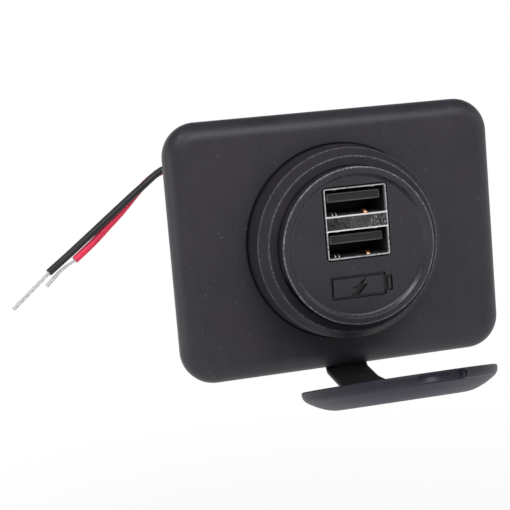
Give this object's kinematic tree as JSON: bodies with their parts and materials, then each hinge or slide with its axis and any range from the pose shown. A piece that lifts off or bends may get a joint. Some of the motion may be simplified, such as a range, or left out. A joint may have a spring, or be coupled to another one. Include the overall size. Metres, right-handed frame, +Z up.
{
  "type": "dual usb power socket",
  "caption": "Dual USB power socket on a rectangular plate, with a threaded barrel and ring nut, a dust cap on a rubber strap and two stripped wire leads.",
  "frame": {"origin": "on the socket's axis, in the plane of the plate's back rim, which lies on the panel", "axes": "+Z up as the symbol and the strap show, the socket faces -Y, +X to the right seen from the front"},
  "size_m": [0.1002, 0.1012, 0.0578],
  "materials": {
    "black_plastic": "fine satin grain",
    "barrel_plastic": "satin",
    "black_rubber": "matt soft rubber",
    "insulator": "satin",
    "tin": "tin plated sheet",
    "gold": "gold flash",
    "laminate": "solder mask",
    "epoxy": "moulded epoxy",
    "ferrite": "pressed ferrite",
    "aluminium": "plain can",
    "black_insulation": "soft PVC",
    "red_insulation": "soft PVC",
    "tinned_copper": "tinned strands"
  },
  "bodies": {
    "socket": {"mounting_plate": "black_plastic", "socket_body": "barrel_plastic", "flange_seal": "black_rubber", "socket_face": "black_plastic", "usb_shell": "tin", "port_core_lower": "insulator", "port_core_upper": "insulator", "contact_lower_1": "gold", "contact_lower_2": "gold", "contact_lower_3": "gold", "contact_lower_4": "gold", "contact_upper_1": "gold", "contact_upper_2": "gold", "contact_upper_3": "gold", "contact_upper_4": "gold", "circuit_board": "laminate", "charge_controller": "epoxy", "rectifier_diode": "epoxy", "input_fuse": "epoxy", "power_inductor": "ferrite", "input_capacitor": "aluminium", "output_capacitor": "aluminium", "ring_nut": "barrel_plastic", "cap_strap": "black_rubber", "rear_cap": "barrel_plastic", "wire_grommet": "black_rubber", "wire_black": "black_insulation", "wire_red": "red_insulation", "conductor_black": "tinned_copper", "conductor_red": "tinned_copper"},
    "cap": {"dust_cap": "black_rubber"}
  },
  "joints": [
    {"name": "cap_swing", "type": "hinge", "parent": "socket", "child": "cap", "pos_m": [0, -0.00853, -0.02374], "axis": [-1, 0, 0], "range_deg": [0, 75.16], "stiffness_Nm_per_rad": 0.012}
  ]
}
